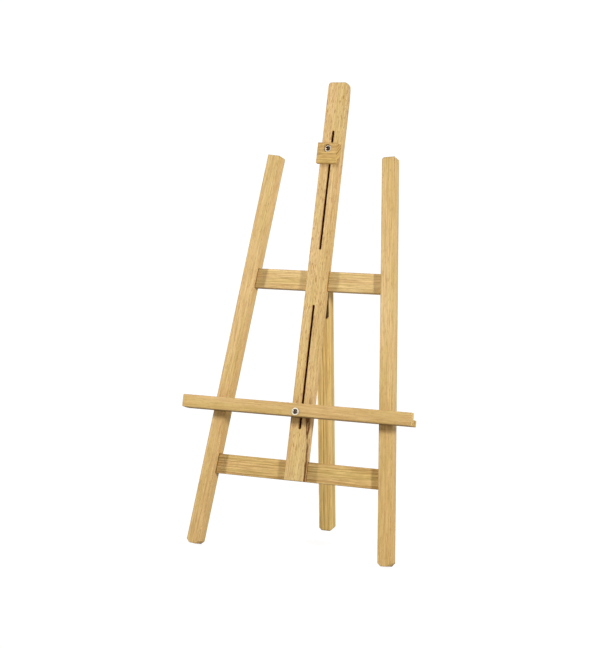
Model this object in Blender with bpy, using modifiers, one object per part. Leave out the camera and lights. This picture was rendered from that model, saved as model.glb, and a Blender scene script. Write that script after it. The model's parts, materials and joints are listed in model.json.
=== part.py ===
"""Tripod field easel: two splayed front legs, two crossbars, a slotted mast,
a sliding canvas tray, a sliding top clamp and a hinged rear leg.

World axes: +X to the right as seen from the front, +Y to the back, +Z up.
The origin is on the floor, under the middle of the object's bounding box.
Lengths below are in millimetres and MM turns them into metres.

Frame axes (children of the empty "frame_axes"): x across, u up along the
leaning frame, w out of the front of the frame. w = 0 is the plane of the
front faces of the legs and the mast. In local coordinates u is z and w is -y.
"""

import math

import bmesh
import bpy
from mathutils import Matrix, Vector

MM = 0.001
GAP = 0.3                     # clearance between neighbouring pieces
OVERCUT = 5.0                 # how far a cutter runs past the faces it opens

# ---- stance -------------------------------------------------------------
LEAN = math.radians(17.05)    # front frame leans back from the vertical
SPLAY = math.radians(5.67)    # each front leg, in the plane of the frame
HALF_SPREAD = 191.25          # leg centre line to the middle, at u = 0
OPEN_ANGLE = math.radians(19.09)   # rear leg to the frame, standing open

# ---- front legs ---------------------------------------------------------
LEG_W = 25.0                  # in the plane of the frame
LEG_D = 27.0                  # front to back
LEG_BOTTOM, LEG_TOP = 3.4, 758.9   # along the leg
FOOT_CHAMFER = 6.0
# name, side of the frame, rounding of the top edge at -x and at +x
LEGS = (("left_leg", -1, 1.2, 4.0), ("right_leg", 1, 3.5, 4.0))

# ---- crossbars ----------------------------------------------------------
BAR_H = 37.0
BAR_T = 16.0
BAR_FRONT = 10.0              # set back behind the legs' front faces
BAR_BACK = BAR_FRONT + BAR_T
BAR_U = {"upper_crossbar": 516.0, "lower_crossbar": 157.0}
BAR_SPARE = 12.0              # extra at each end, trimmed to the slanting shoulder
SHOULDER_CUT_REACH, SHOULDER_CUT_HALF_H = 60.0, 40.0
TENON_H, TENON_T, TENON_L = 27.0, 8.0, 14.0

# ---- mast ---------------------------------------------------------------
MAST_W, MAST_T = 40.0, 18.0
MAST_BOTTOM, MAST_TOP = 138.5, 900.0
MAST_CLIPS = ((-MAST_W / 2, 5.5), (MAST_W / 2, 8.0))   # x of the corner, size
SLOT_W = 4.8
SLOTS = {"upper_slot": (573.7, 804.8), "lower_slot": (234.2, 468.3)}
MAST_SCREW_L = 20.0
# crossbar, x, height above the bar's centre line
MAST_SCREWS = (
    ("upper_crossbar", -11.0, 11.0),
    ("upper_crossbar", 11.0, 11.0),
    ("lower_crossbar", -10.0, 7.0),
    ("lower_crossbar", 10.0, -7.0),
)

# ---- hinge --------------------------------------------------------------
PIN_U = 517.0
KNUCKLE_R, PIN_R = 2.7, 1.3
PIN_W = -(BAR_BACK + GAP + KNUCKLE_R)   # hinge axis, behind the bar
# upper half of the pin and its head: radius, distance from the middle
PIN_HALF = [(0.0, 13.4), (1.6, 13.3), (2.1, 12.9), (2.1, 12.5), (PIN_R, 12.5)]
PIN_BORE_REACH = 20.0
LEAF_T = 1.5
LEAF_EDGE = -KNUCKLE_R - GAP  # both leaves start this far below the axis
CROSS_LEAF_W, CROSS_LEAF_H = 64.0, 18.0
STRAP_W, STRAP_L = 24.4, 70.0
STRAP_CHAMFER = 2.0
KNUCKLE_INNER, KNUCKLE_OUTER = 5.0, 12.2
KNUCKLE_INSET = 0.01          # knuckle shorter than its lug, at each end
LUG_OUTER_INSET, LUG_INNER_INSET = 0.12, 0.05   # lug within the leaf's two faces
LUG_OVERLAP = 1.5             # lug's lower end, below the knuckle
# x, distance below the hinge axis, length
CROSS_SCREWS = ((-27.0, 7.0, 13.0), (-17.5, 12.5, 8.5), (17.5, 12.5, 8.5), (27.0, 7.0, 13.0))
STRAP_SCREWS = ((-5.0, 19.0, 16.0), (5.0, 39.0, 16.0), (-5.0, 60.0, 16.0))

# ---- rear leg -----------------------------------------------------------
REAR_W = REAR_D = 25.0
REAR_FRONT = KNUCKLE_R + GAP  # leg's front face behind the hinge axis
REAR_OVER = 16.0              # leg above the hinge axis: it stops the opening
REAR_TOP_CHAMFER = 10.0

# ---- bolts, washers and wing nuts ---------------------------------------
BOLT_R = 2.08
BOLT_END_CHAMFER, BOLT_END_TAPER = 0.7, 0.6   # along and across the bolt
HEAD_R, HEAD_H = 4.6, 2.5
RECESS_L, RECESS_W, RECESS_DEPTH = 5.0, 1.1, 1.5   # each arm of the cross
RECESS_CUT_OVER = 1.0
RECESS_TURNS = (math.radians(20), math.radians(110))
BORE_R = BOLT_R + GAP
WASHER_R, WASHER_T = 7.0, 1.0
CLAMP_FRONT_WASHER_R = 6.2
STACK_GAP = 0.2               # clearance under the front washer and the bolt head
BOLT_TAIL_W = -28.0           # end of both bolts, behind the mast
BACK_WASHER_W = -MAST_T - GAP - WASHER_T
NUT_SEAT_W = BACK_WASHER_W - GAP
# radius, height above the seat
NUT_PROFILE = [(4.0, 5.6), (4.4, 5.2), (5.0, 0.0), (BORE_R, 0.0), (BORE_R, 5.6)]
WING_HALF_T = 1.0
# outline of one wing: distance from the bolt's axis, height above the seat
WING_OUTLINE = (
    (3.2, 0.9), (6.0, 1.3), (9.0, 3.0), (11.6, 5.4), (12.2, 7.2), (11.6, 8.6),
    (10.2, 9.1), (8.6, 8.4), (7.0, 6.4), (5.4, 5.0), (3.2, 4.6),
)

# ---- wood screws --------------------------------------------------------
SCREW_HEAD_R, SCREW_R = 3.2, 1.7
SCREW_RIM = 0.3               # straight edge of the countersunk head
SCREW_NECK = 1.9              # depth at which the head meets the shank
SCREW_POINT = 3.5             # length of the pointed end
SCREW_HOLE_OVER = 3.0         # hole cutter above the head

# ---- top clamp ----------------------------------------------------------
CLAMP_W, CLAMP_T = 40.0, 20.0
CLAMP_BOTTOM, CLAMP_TOP = 736.0, 776.0
CLAMP_BOLT_U = 765.3
CLAMP_WING_TURN = math.radians(65)
CLAMP_LIP_T = 8.0             # the lip that hooks over the canvas
UNDERCUT_CEILING_FRONT, UNDERCUT_CEILING_BACK = 745.5, 753.0
UNDERCUT_BACK_Y = 4.4         # back of the undercut's cutter, past the block
UNDERCUT_BELOW = 10.0         # the cutter, below the block
COUNTERBORE_R, COUNTERBORE_DEPTH = 7.4, 5.0
CLAMP_HOLE_Y = (-30.0, 10.0)

# ---- tray ---------------------------------------------------------------
TRAY_LEFT, TRAY_RIGHT = -232.0, 224.0
TRAY_BOTTOM = 255.5
LEDGE_D, LEDGE_H = 18.0, 12.0
LIP_T, LIP_H = 11.7, 24.0
LIP_CHAMFER = 3.0
TRAY_BOLT_U = 263.8
TRAY_WING_TURN = math.radians(25)
TRAY_HOLE_Y = (-45.0, 10.0)
TRAY_SCREW_X = (-205.0, -90.0, 80.0, 195.0)
TRAY_SCREW_L = 26.0

# ---- finishes: colours are linear ---------------------------------------
PINE_PALE = dict(colour=(0.72, 0.49, 0.23, 1.0), roughness=0.55, metallic=0.0)
PINE_WARM = dict(colour=(0.62, 0.38, 0.15, 1.0), roughness=0.55, metallic=0.0)
PINE_DEEP = dict(colour=(0.53, 0.33, 0.12, 1.0), roughness=0.58, metallic=0.0)
ZINC = dict(colour=(0.70, 0.70, 0.68, 1.0), roughness=0.30, metallic=1.0)
YELLOW_ZINC = dict(colour=(0.72, 0.56, 0.26, 1.0), roughness=0.32, metallic=1.0)
BLACK_STEEL = dict(colour=(0.012, 0.011, 0.010, 1.0), roughness=0.42, metallic=0.6)

ORIGIN = (0.0, 0.0, 0.0)
TOWARDS_FRONT = (math.pi / 2, 0.0, 0.0)    # local +z points out of the front
TOWARDS_BACK = (-math.pi / 2, 0.0, 0.0)    # local +z points out of the back
SHARP_ANGLE = math.radians(40)             # on turned pieces
WELD = 0.00001                             # merging distance, in metres


# ------------------------------------------------------------------ scene
for old in list(bpy.data.objects):
    bpy.data.objects.remove(old, do_unlink=True)

PARTS = bpy.data.collections.new("tripod_field_easel")
CUTTERS = bpy.data.collections.new("cutters")
for made in (PARTS, CUTTERS):
    bpy.context.scene.collection.children.link(made)


def at(x, u, w):
    """A place in frame axes, as local coordinates in metres."""
    return Vector((x, -w, u)) * MM


def empty(name, parent, location, rotation=ORIGIN):
    obj = bpy.data.objects.new(name, None)
    obj.empty_display_size = 0.02
    obj.parent = parent
    obj.location = location
    obj.rotation_euler = rotation
    PARTS.objects.link(obj)
    return obj


def paint(obj, colour, roughness, metallic):
    material = bpy.data.materials.new(obj.name + "_finish")
    material.use_nodes = True
    shader = material.node_tree.nodes["Principled BSDF"]
    shader.inputs["Base Color"].default_value = colour
    shader.inputs["Roughness"].default_value = roughness
    shader.inputs["Metallic"].default_value = metallic
    obj.data.materials.append(material)


def put(name, mesh, parent, location=ORIGIN, rotation=ORIGIN, look=None):
    """Place a mesh: a finished piece if it has a look, otherwise a helper."""
    obj = bpy.data.objects.new(name, mesh)
    obj.parent = parent
    obj.location = location
    obj.rotation_euler = rotation
    if look:
        PARTS.objects.link(obj)
        paint(obj, **look)
    else:
        CUTTERS.objects.link(obj)
        obj.hide_render = True
        obj.display_type = "WIRE"
    return obj


def boolean(obj, other, operation="DIFFERENCE"):
    modifier = obj.modifiers.new(operation.lower() + "_" + other.name, "BOOLEAN")
    modifier.operation = operation
    modifier.object = other
    modifier.solver = "EXACT"


# ------------------------------------------------------------ basic shapes
def finish_mesh(name, bm):
    mesh = bpy.data.meshes.new(name)
    bm.to_mesh(mesh)
    bm.free()
    return mesh


def edges_at(**place):
    """A test for edges with both ends at these coordinates in mm."""
    return lambda start, end: all(
        abs(getattr(point, axis) - value) < 1e-3
        for axis, value in place.items()
        for point in (start, end)
    )


def depth_edges_at(z):
    """A test for the edges that run front to back at this height."""
    at_height = edges_at(z=z)
    return lambda start, end: at_height(start, end) and abs(start.x - end.x) < 1e-3


def box(name, low, high, parent, location=ORIGIN, rotation=ORIGIN, look=None, bevels=()):
    """A box between two corners in mm. Each bevel is (test, offset, segments),
    where test picks edges by their two end points in mm."""
    low, high = Vector(low), Vector(high)
    bm = bmesh.new()
    bmesh.ops.create_cube(bm, size=1.0)
    bmesh.ops.scale(bm, vec=(high - low) * MM, verts=bm.verts)
    bmesh.ops.translate(bm, vec=(high + low) * 0.5 * MM, verts=bm.verts)
    for test, offset, segments in bevels:
        picked = [
            edge
            for edge in bm.edges
            if test(edge.verts[0].co / MM, edge.verts[1].co / MM)
        ]
        bmesh.ops.bevel(
            bm,
            geom=picked,
            offset=offset * MM,
            offset_type="OFFSET",
            segments=segments,
            profile=0.5,
            affect="EDGES",
            clamp_overlap=True,
        )
    return put(name, finish_mesh(name, bm), parent, location, rotation, look)


def add_cylinder(bm, radius, length, segments, matrix):
    bmesh.ops.create_cone(
        bm,
        cap_ends=True,
        segments=segments,
        radius1=radius * MM,
        radius2=radius * MM,
        depth=length * MM,
        matrix=matrix,
    )


def rod(name, radius, low, high, axis, segments, parent):
    """A helper cylinder about the parent's x or y axis, from low to high in mm."""
    turn = {
        "X": Matrix.Rotation(math.pi / 2, 4, "Y"),
        "Y": Matrix.Rotation(-math.pi / 2, 4, "X"),
    }[axis]
    shift = Matrix.Translation((0, 0, (low + high) / 2 * MM))
    bm = bmesh.new()
    add_cylinder(bm, radius, high - low, segments, turn @ shift)
    return put(name, finish_mesh(name, bm), parent)


def turned(name, profile, parent, location, rotation, steps, look=None, ring=False):
    """A turned piece: a profile of (radius, height) in mm, spun about its
    local z axis. A ring's profile is closed."""
    mesh = bpy.data.meshes.new(name)
    points = [(radius * MM, 0.0, height * MM) for radius, height in profile]
    edges = [(i, i + 1) for i in range(len(points) - 1)]
    if ring:
        edges.append((len(points) - 1, 0))
    mesh.from_pydata(points, edges, [])
    obj = put(name, mesh, parent, location, rotation, look)
    spin = obj.modifiers.new("spin", "SCREW")
    spin.axis = "Z"
    spin.angle = 2 * math.pi
    spin.steps = steps
    spin.render_steps = steps
    spin.use_merge_vertices = True
    spin.merge_threshold = WELD
    spin.use_smooth_shade = True
    return obj


# --------------------------------------------------------------- fasteners
def wood_screw(name, length, parent, location, rotation, cut, look=ZINC):
    """A countersunk wood screw, its head flush at location, and the clearance
    that it needs in each piece of cut."""
    shank_end = SCREW_POINT - length
    profile = [
        (0.0, 0.0),
        (SCREW_HEAD_R, 0.0),
        (SCREW_HEAD_R, -SCREW_RIM),
        (SCREW_R, -SCREW_NECK),
        (SCREW_R, shank_end),
        (0.0, -length),
    ]
    hole_profile = [
        (0.0, SCREW_HOLE_OVER),
        (SCREW_HEAD_R + GAP, SCREW_HOLE_OVER),
        (SCREW_HEAD_R + GAP, -SCREW_RIM - GAP),
        (SCREW_R + GAP, -SCREW_NECK - GAP),
        (SCREW_R + GAP, shank_end),
        (GAP, -length - GAP),
        (0.0, -length - GAP),
    ]
    turned(name, profile, parent, location, rotation, 12, look)
    hole = turned(name + "_hole", hole_profile, parent, location, rotation, 12)
    for piece in cut:
        boolean(piece, hole)


def machine_bolt(name, head_w, parent):
    """A pan-head bolt with a crossed recess, along w; the head sits on head_w."""
    length = head_w - BOLT_TAIL_W
    profile = [
        (0.0, HEAD_H),
        (2.6, HEAD_H - 0.1),
        (3.9, HEAD_H - 0.7),
        (HEAD_R, HEAD_H - 1.7),
        (HEAD_R, 0.0),
        (BOLT_R, 0.0),
        (BOLT_R, BOLT_END_CHAMFER - length),
        (BOLT_R - BOLT_END_TAPER, -length),
        (0.0, -length),
    ]
    bolt = turned(name, profile, parent, at(0, 0, head_w), TOWARDS_FRONT, 20, ZINC)
    for turn in RECESS_TURNS:
        arm = box(
            name + "_recess",
            (-RECESS_L / 2, -RECESS_W / 2, HEAD_H - RECESS_DEPTH),
            (RECESS_L / 2, RECESS_W / 2, HEAD_H + RECESS_CUT_OVER),
            bolt, rotation=(0, 0, turn),
        )
        boolean(bolt, arm)


def washer(name, radius, back_w, parent, look):
    profile = [(radius, WASHER_T), (radius, 0.0), (BORE_R, 0.0), (BORE_R, WASHER_T)]
    turned(name, profile, parent, at(0, 0, back_w), TOWARDS_FRONT, 24, look, ring=True)


def wing_mesh(name, turn):
    """The wing outline, given a thickness, as a mesh with welded caps."""
    curve = bpy.data.curves.new(name, "CURVE")
    curve.dimensions = "2D"
    curve.fill_mode = "BOTH"
    curve.extrude = WING_HALF_T * MM
    spline = curve.splines.new("POLY")
    spline.points.add(len(WING_OUTLINE) - 1)
    for point, (x, y) in zip(spline.points, WING_OUTLINE):
        point.co = (x * MM, y * MM, 0.0, 1.0)
    spline.use_cyclic_u = True
    helper = bpy.data.objects.new(name + "_outline", curve)
    CUTTERS.objects.link(helper)
    bpy.context.view_layer.update()
    graph = bpy.context.evaluated_depsgraph_get()
    mesh = bpy.data.meshes.new_from_object(helper.evaluated_get(graph))
    mesh.name = name
    bpy.data.objects.remove(helper, do_unlink=True)
    bm = bmesh.new()
    bm.from_mesh(mesh)
    bmesh.ops.remove_doubles(bm, verts=bm.verts, dist=WELD)
    bmesh.ops.recalc_face_normals(bm, faces=bm.faces)
    bm.transform(turn)
    bm.to_mesh(mesh)
    bm.free()
    return mesh


def wing_nut(name, parent, turn):
    """A wing nut behind the mast, its seat at NUT_SEAT_W."""
    rotation = Matrix.Rotation(-math.pi / 2, 3, "X") @ Matrix.Rotation(turn, 3, "Z")
    hub = turned(
        name, NUT_PROFILE, parent, at(0, 0, NUT_SEAT_W), rotation.to_euler(),
        20, ZINC, ring=True,
    )
    upright = Matrix.Rotation(math.pi / 2, 4, "X")
    for side in (0.0, math.pi):
        mesh = wing_mesh("wing", Matrix.Rotation(side, 4, "Z") @ upright)
        boolean(hub, put(name + "_wing", mesh, hub), "UNION")


def clamping_bolt(prefix, front_w, front_washer_r, parent, wing_turn):
    """Bolt, two washers and wing nut holding a piece, seated at front_w, to the mast."""
    washer_w = front_w + STACK_GAP
    washer(prefix + "_front_washer", front_washer_r, washer_w, parent, YELLOW_ZINC)
    machine_bolt(prefix + "_bolt", washer_w + WASHER_T + STACK_GAP, parent)
    washer(prefix + "_back_washer", WASHER_R, BACK_WASHER_W, parent, ZINC)
    wing_nut(prefix + "_wing_nut", parent, wing_turn)


# ------------------------------------------------------- stance and legs
# The legs are cut square, so each stands on the back edge of its lower end.
lowest = LEG_BOTTOM * math.cos(SPLAY) - (LEG_W / 2 - FOOT_CHAMFER) * math.sin(SPLAY)
RISE = LEG_D * math.sin(LEAN) - lowest * math.cos(LEAN)


def build_frame_axes():
    """Stand the frame on the floor, centred on the bounding box."""
    front_most = lowest * math.sin(LEAN)
    back_most = MAST_TOP * math.sin(LEAN) + MAST_T * math.cos(LEAN)
    shift_x = -(TRAY_LEFT + TRAY_RIGHT) / 2
    shift_y = -(front_most + back_most) / 2
    location = Vector((shift_x, shift_y, RISE)) * MM
    return empty("frame_axes", None, location, (-LEAN, 0, 0))


def leg_pose(side):
    """Location and rotation of the leg on this side."""
    return at(side * HALF_SPREAD, 0, 0), (0, -side * SPLAY, 0)


def build_front_legs(frame):
    half = LEG_W / 2
    return [
        box(
            name, (-half, 0, LEG_BOTTOM), (half, LEG_D, LEG_TOP),
            frame, *leg_pose(side), PINE_PALE,
            [
                (depth_edges_at(LEG_BOTTOM), FOOT_CHAMFER, 1),
                (edges_at(z=LEG_TOP, x=-half), left_round, 3),
                (edges_at(z=LEG_TOP, x=half), right_round, 3),
            ],
        )
        for name, side, left_round, right_round in LEGS
    ]


# --------------------------------------------------------------- crossbars
def tenon_box(name, inner, u, frame, grow=0.0):
    """Both tenons of a bar in one box, grown all round to make the mortises."""
    middle = (BAR_FRONT + BAR_BACK) / 2
    x = inner + TENON_L + grow
    y = TENON_T / 2 + grow
    z = TENON_H / 2 + grow
    return box(name, (-x, middle - y, -z), (x, middle + y, z), frame, at(0, u, 0))


def build_crossbar(name, u, legs, frame):
    """A bar whose shoulders meet the legs' inner faces and whose tenons
    enter them, housed round the mast."""
    inner = HALF_SPREAD - u * math.tan(SPLAY) - LEG_W / 2 / math.cos(SPLAY)
    half_l = inner + BAR_SPARE
    bar = box(
        name, (-half_l, BAR_FRONT, -BAR_H / 2), (half_l, BAR_BACK, BAR_H / 2),
        frame, at(0, u, 0), look=PINE_WARM,
    )
    for side in (-1, 1):
        # From just inside the leg's inner face to well outside the leg.
        x_low, x_high = sorted((side * SHOULDER_CUT_REACH, -side * (LEG_W / 2 + GAP)))
        shoulder = box(
            name + "_shoulder",
            (x_low, -OVERCUT, u - SHOULDER_CUT_HALF_H),
            (x_high, LEG_D + OVERCUT, u + SHOULDER_CUT_HALF_H),
            frame, *leg_pose(side),
        )
        boolean(bar, shoulder)
    boolean(bar, tenon_box(name + "_tenon", inner, u, frame), "UNION")
    mortise = tenon_box(name + "_mortise", inner, u, frame, GAP)
    for leg in legs:
        boolean(leg, mortise)
    housing = box(
        name + "_housing",
        (-MAST_W / 2 - GAP, -OVERCUT, -BAR_H / 2 - OVERCUT),
        (MAST_W / 2 + GAP, MAST_T + GAP, BAR_H / 2 + OVERCUT),
        frame, at(0, u, 0),
    )
    boolean(bar, housing)
    return bar


# -------------------------------------------------------------------- mast
def slot_cutter(name, low_u, high_u, frame):
    """A round-ended slot along u, right through the mast: a cylinder whose
    upper and lower halves are drawn apart."""
    radius = SLOT_W / 2
    bm = bmesh.new()
    # The small turn keeps every corner off the line between the halves.
    matrix = (
        Matrix.Translation((0, MAST_T / 2 * MM, 0))
        @ Matrix.Rotation(math.pi / 2, 4, "X")
        @ Matrix.Rotation(math.pi / 16, 4, "Z")
    )
    add_cylinder(bm, radius, MAST_T + 2 * OVERCUT, 16, matrix)
    for vert in bm.verts:
        if vert.co.z > 0:
            vert.co.z += (high_u - radius) * MM
        else:
            vert.co.z += (low_u + radius) * MM
    bmesh.ops.recalc_face_normals(bm, faces=bm.faces)
    return put(name, finish_mesh(name, bm), frame)


def build_mast(bars, frame):
    length = MAST_TOP - MAST_BOTTOM
    mast = box(
        "mast", (-MAST_W / 2, 0, 0), (MAST_W / 2, MAST_T, length),
        frame, at(0, MAST_BOTTOM, 0), look=PINE_PALE,
        bevels=[(edges_at(z=length, x=x), size, 1) for x, size in MAST_CLIPS],
    )
    for name, (low_u, high_u) in SLOTS.items():
        boolean(mast, slot_cutter(name, low_u, high_u, frame))
    for number, (bar_name, x, above) in enumerate(MAST_SCREWS, 1):
        wood_screw(
            f"mast_screw_{number}", MAST_SCREW_L, frame,
            at(x, BAR_U[bar_name] + above, -BAR_BACK), TOWARDS_BACK,
            (bars[bar_name], mast),
        )


# ------------------------------------------------------------------- hinge
def add_knuckle(leaf, prefix, parent, low_x, high_x, facing):
    """Join a knuckle and the lug that carries it to a leaf; facing is the
    sign of y of the leaf's outer face."""
    low_y, high_y = sorted((
        facing * (KNUCKLE_R - LUG_OUTER_INSET),
        facing * (KNUCKLE_R - LEAF_T + LUG_INNER_INSET),
    ))
    lug = box(
        prefix + "_lug",
        (low_x, low_y, -KNUCKLE_R - LUG_OVERLAP), (high_x, high_y, 0.0), parent,
    )
    knuckle = rod(
        prefix + "_knuckle", KNUCKLE_R, low_x + KNUCKLE_INSET, high_x - KNUCKLE_INSET,
        "X", 16, parent,
    )
    boolean(leaf, lug, "UNION")
    boolean(leaf, knuckle, "UNION")


def bore_leaf(leaf, prefix, parent):
    bore = rod(
        prefix + "_bore", PIN_R + GAP, -PIN_BORE_REACH, PIN_BORE_REACH, "X", 12, parent
    )
    boolean(leaf, bore)


def build_cross_leaf(upper_bar, frame):
    """The hinge half on the upper crossbar, and the pin."""
    pin_place = at(0, PIN_U, PIN_W)
    leaf = box(
        "hinge_cross_leaf",
        (-CROSS_LEAF_W / 2, -KNUCKLE_R, -CROSS_LEAF_H),
        (CROSS_LEAF_W / 2, -KNUCKLE_R + LEAF_T, LEAF_EDGE),
        frame, pin_place, look=BLACK_STEEL,
    )
    for side in (-1, 1):
        ends = sorted((side * (KNUCKLE_INNER + GAP), side * KNUCKLE_OUTER))
        add_knuckle(leaf, "cross", leaf, *ends, facing=-1)
    bore_leaf(leaf, "cross", leaf)
    profile = PIN_HALF + [(radius, -height) for radius, height in reversed(PIN_HALF)]
    turned("hinge_pin", profile, frame, pin_place, (0, math.pi / 2, 0), 12, BLACK_STEEL)
    for number, (x, down, length) in enumerate(CROSS_SCREWS, 1):
        wood_screw(
            f"hinge_cross_screw_{number}", length, frame,
            at(x, PIN_U - down, PIN_W + KNUCKLE_R - LEAF_T), TOWARDS_BACK,
            (leaf, upper_bar), BLACK_STEEL,
        )


def build_strap_leaf(rear_leg, rear_axes):
    """The hinge half on the rear leg."""
    leaf = box(
        "hinge_strap_leaf",
        (-STRAP_W / 2, KNUCKLE_R - LEAF_T, -STRAP_L),
        (STRAP_W / 2, KNUCKLE_R, LEAF_EDGE),
        rear_axes, look=BLACK_STEEL,
        bevels=[(depth_edges_at(-STRAP_L), STRAP_CHAMFER, 1)],
    )
    add_knuckle(leaf, "strap", rear_axes, -KNUCKLE_INNER, KNUCKLE_INNER, facing=1)
    bore_leaf(leaf, "strap", rear_axes)
    for number, (x, down, length) in enumerate(STRAP_SCREWS, 1):
        wood_screw(
            f"hinge_strap_screw_{number}", length, rear_axes,
            at(x, -down, LEAF_T - KNUCKLE_R), TOWARDS_FRONT,
            (leaf, rear_leg), BLACK_STEEL,
        )


# ---------------------------------------------------------------- rear leg
def build_rear_leg(rear_axes):
    """The leg, just long enough for its lower end to reach the floor."""
    tilt = OPEN_ANGLE - LEAN
    pin_height = RISE + PIN_U * math.cos(LEAN) + PIN_W * math.sin(LEAN)
    bottom = -(pin_height + REAR_FRONT * math.sin(tilt)) / math.cos(tilt)
    back = REAR_FRONT + REAR_D
    return box(
        "rear_leg", (-REAR_W / 2, REAR_FRONT, bottom), (REAR_W / 2, back, REAR_OVER),
        rear_axes, look=PINE_DEEP,
        bevels=[
            (depth_edges_at(bottom), FOOT_CHAMFER, 1),
            (edges_at(z=REAR_OVER, y=back), REAR_TOP_CHAMFER, 1),
        ],
    )


# --------------------------------------------------------------- top clamp
def clamp_undercut(bottom, front, axes):
    """The undercut behind the clamp's lip, whose ceiling rises towards the mast."""
    undercut = box(
        "clamp_undercut",
        (-CLAMP_W, front + CLAMP_LIP_T, bottom - UNDERCUT_BELOW),
        (CLAMP_W, -GAP, UNDERCUT_CEILING_FRONT - CLAMP_BOLT_U),
        axes,
    )
    for vert in undercut.data.vertices:
        if vert.co.y > (-GAP - 0.1) * MM:
            if vert.co.z > bottom * MM:
                vert.co.z = (UNDERCUT_CEILING_BACK - CLAMP_BOLT_U) * MM
            vert.co.y = UNDERCUT_BACK_Y * MM
    return undercut


def build_clamp(frame):
    axes = empty("clamp_axes", frame, at(0, CLAMP_BOLT_U, 0))
    bottom = CLAMP_BOTTOM - CLAMP_BOLT_U
    front = -CLAMP_T - GAP
    seat = front + COUNTERBORE_DEPTH
    block = box(
        "clamp_block",
        (-CLAMP_W / 2, front, bottom),
        (CLAMP_W / 2, -GAP, CLAMP_TOP - CLAMP_BOLT_U),
        axes, look=PINE_WARM,
    )
    boolean(block, clamp_undercut(bottom, front, axes))
    boolean(block, rod("clamp_hole", BORE_R, *CLAMP_HOLE_Y, "Y", 20, axes))
    boolean(
        block,
        rod("clamp_counterbore", COUNTERBORE_R, front - OVERCUT, seat, "Y", 32, axes),
    )
    clamping_bolt("clamp", -seat, CLAMP_FRONT_WASHER_R, axes, CLAMP_WING_TURN)


# -------------------------------------------------------------------- tray
def build_tray(frame):
    axes = empty("tray_axes", frame, at(0, TRAY_BOLT_U, 0))
    bottom = TRAY_BOTTOM - TRAY_BOLT_U
    lip_back = GAP + LEDGE_D + GAP
    lip_front = lip_back + LIP_T
    ledge = box(
        "tray_ledge",
        (TRAY_LEFT, -GAP - LEDGE_D, bottom), (TRAY_RIGHT, -GAP, bottom + LEDGE_H),
        axes, look=PINE_WARM,
    )
    lip = box(
        "tray_lip",
        (TRAY_LEFT, -lip_front, bottom), (TRAY_RIGHT, -lip_back, bottom + LIP_H),
        axes, look=PINE_PALE,
        bevels=[(edges_at(x=TRAY_LEFT, z=bottom), LIP_CHAMFER, 1)],
    )
    hole = rod("tray_hole", BORE_R, *TRAY_HOLE_Y, "Y", 20, axes)
    boolean(ledge, hole)
    boolean(lip, hole)
    for number, x in enumerate(TRAY_SCREW_X, 1):
        wood_screw(
            f"tray_screw_{number}", TRAY_SCREW_L, axes,
            at(x, bottom + LEDGE_H / 2, GAP), TOWARDS_BACK, (ledge, lip),
        )
    clamping_bolt("tray", lip_front, WASHER_R, axes, TRAY_WING_TURN)


def shade_turned_pieces():
    bpy.context.view_layer.update()
    for obj in PARTS.objects:
        if obj.type == "MESH" and any(m.type == "SCREW" for m in obj.modifiers):
            obj.data.shade_smooth()
            obj.data.set_sharp_from_angle(angle=SHARP_ANGLE)


# ---------------------------------------------------------------- assembly
frame_axes = build_frame_axes()
front_legs = build_front_legs(frame_axes)
crossbars = {
    name: build_crossbar(name, u, front_legs, frame_axes) for name, u in BAR_U.items()
}
build_mast(crossbars, frame_axes)
build_cross_leaf(crossbars["upper_crossbar"], frame_axes)
# The rear leg's axes turn about the hinge pin: z up the leg, y to its back.
rear_leg_axes = empty(
    "rear_leg_axes", frame_axes, at(0, PIN_U, PIN_W), (OPEN_ANGLE, 0, 0)
)
build_strap_leaf(build_rear_leg(rear_leg_axes), rear_leg_axes)
build_clamp(frame_axes)
build_tray(frame_axes)
shade_turned_pieces()
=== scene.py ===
"""A wooden easel: two splayed front legs, two crossbars, a slotted mast, a hinged rear
leg, a top clamp and a tray, the last two bolted through the mast's slots.

World x is to the easel's right, z is up, and the front faces -y. The front frame leans
back. Places on it are given in mm as across (to the right), up (along the lean) and
out (square to its front).
"""
import json
import math

import bmesh
import bpy
from mathutils import Matrix, Vector, noise


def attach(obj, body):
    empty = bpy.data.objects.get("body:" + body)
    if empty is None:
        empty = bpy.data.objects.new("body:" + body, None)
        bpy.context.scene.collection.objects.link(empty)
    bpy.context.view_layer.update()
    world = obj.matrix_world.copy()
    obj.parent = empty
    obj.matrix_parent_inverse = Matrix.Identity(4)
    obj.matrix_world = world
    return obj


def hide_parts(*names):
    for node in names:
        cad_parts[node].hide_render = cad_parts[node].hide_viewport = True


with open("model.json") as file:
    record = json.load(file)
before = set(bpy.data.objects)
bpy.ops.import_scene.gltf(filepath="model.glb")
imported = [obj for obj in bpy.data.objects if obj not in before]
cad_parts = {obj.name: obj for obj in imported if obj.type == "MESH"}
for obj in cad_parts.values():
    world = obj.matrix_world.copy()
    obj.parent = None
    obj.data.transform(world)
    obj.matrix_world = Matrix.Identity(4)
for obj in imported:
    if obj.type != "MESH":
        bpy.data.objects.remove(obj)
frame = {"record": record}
joints = {joint["name"]: joint for joint in frame["record"]["behaviour"]["joints"]}
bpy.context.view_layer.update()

MM = 0.001
RIGHT = Vector((1, 0, 0))
UP = Vector(joints["clamp_slide"]["axis"]).normalized()
FRONT = Vector(joints["tray_tilt"]["axis"]).normalized()
BACK = -FRONT

# ------------------------------------------------------- dimensions in mm
SPLAY = math.radians(5.67)      # of each front leg
HALF_SPREAD = 191.25            # from the middle to a front leg's axis, at up = 0
LEG_WIDTH, LEG_DEPTH = 25.0, 27.0
LEG_BOTTOM, LEG_TOP = 3.4, 758.9

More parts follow.
